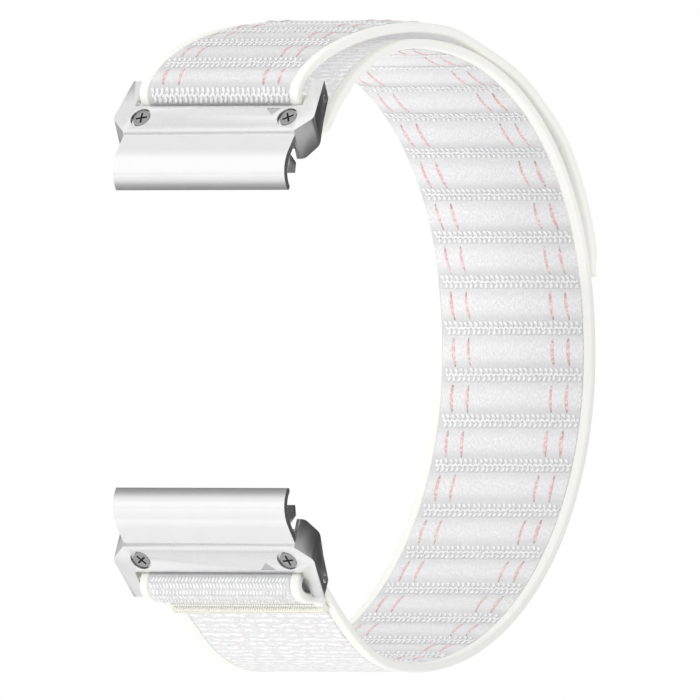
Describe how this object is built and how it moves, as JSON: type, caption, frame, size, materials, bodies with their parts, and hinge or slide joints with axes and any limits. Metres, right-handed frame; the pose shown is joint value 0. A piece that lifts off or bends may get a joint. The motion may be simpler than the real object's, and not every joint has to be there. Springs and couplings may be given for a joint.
{
  "type": "nylon watch strap",
  "caption": "Looped rib-knit nylon watch strap with ivory edge bindings and a quick-release metal lug adapter with a sprung latch at each end.",
  "frame": {"origin": "middle of the loop, where the wrist passes, halfway across the strap's width", "axes": "+X across the strap's width, +Y from the watch to the back of the wrist, +Z towards the end of the strap whose free tab folds back outside"},
  "size_m": [0.0252, 0.0659, 0.0701],
  "materials": {
    "knit_nylon": "rib-knit nylon, cool light grey with fine pink threads",
    "ivory_binding": "smooth ivory edge tape",
    "cream_thread": "cream satin stitching",
    "hook_tape": "fine hook tape",
    "satin_steel": "satin, bead-blasted silver",
    "bright_steel": "bright",
    "dark_steel": "darker satin"
  },
  "bodies": {
    "strap": {"webbing": "knit_nylon", "edge_binding_right": "ivory_binding", "edge_binding_left": "ivory_binding", "hook_patch": "hook_tape", "fold_stitching": "cream_thread"},
    "top_adapter": {"top_adapter_frame": "satin_steel", "top_lug_hook": "satin_steel", "top_latch_cover": "satin_steel", "top_strap_bar": "bright_steel", "top_screw_left": "dark_steel", "top_screw_right": "dark_steel", "top_latch_spring_left": "bright_steel", "top_latch_spring_right": "bright_steel"},
    "top_latch": {"top_latch_slider": "bright_steel"},
    "bottom_adapter": {"bottom_adapter_frame": "satin_steel", "bottom_lug_hook": "satin_steel", "bottom_latch_cover": "satin_steel", "bottom_strap_bar": "bright_steel", "bottom_screw_left": "dark_steel", "bottom_screw_right": "dark_steel", "bottom_latch_spring_left": "bright_steel", "bottom_latch_spring_right": "bright_steel"},
    "bottom_latch": {"bottom_latch_slider": "bright_steel"}
  },
  "joints": [
    {"name": "top_adapter_pivot", "type": "hinge", "parent": "strap", "child": "top_adapter", "pos_m": [0, -0.02142, 0.0256], "axis": [1, 0, 0], "range_deg": [-8, 14]},
    {"name": "top_latch_slide", "type": "slide", "parent": "top_adapter", "child": "top_latch", "axis": [0, 0.6211, 0.7837], "range_m": [0, 0.001], "stiffness_N_per_m": 150, "springref_m": -0.0015, "deforming": ["top_latch_spring_left", "top_latch_spring_right"]},
    {"name": "bottom_adapter_pivot", "type": "hinge", "parent": "strap", "child": "bottom_adapter", "pos_m": [0, -0.02142, -0.0256], "axis": [-1, 0, 0], "range_deg": [-8, 14]},
    {"name": "bottom_latch_slide", "type": "slide", "parent": "bottom_adapter", "child": "bottom_latch", "axis": [0, 0.6211, -0.7837], "range_m": [0, 0.001], "stiffness_N_per_m": 150, "springref_m": -0.0015, "deforming": ["bottom_latch_spring_left", "bottom_latch_spring_right"]}
  ]
}
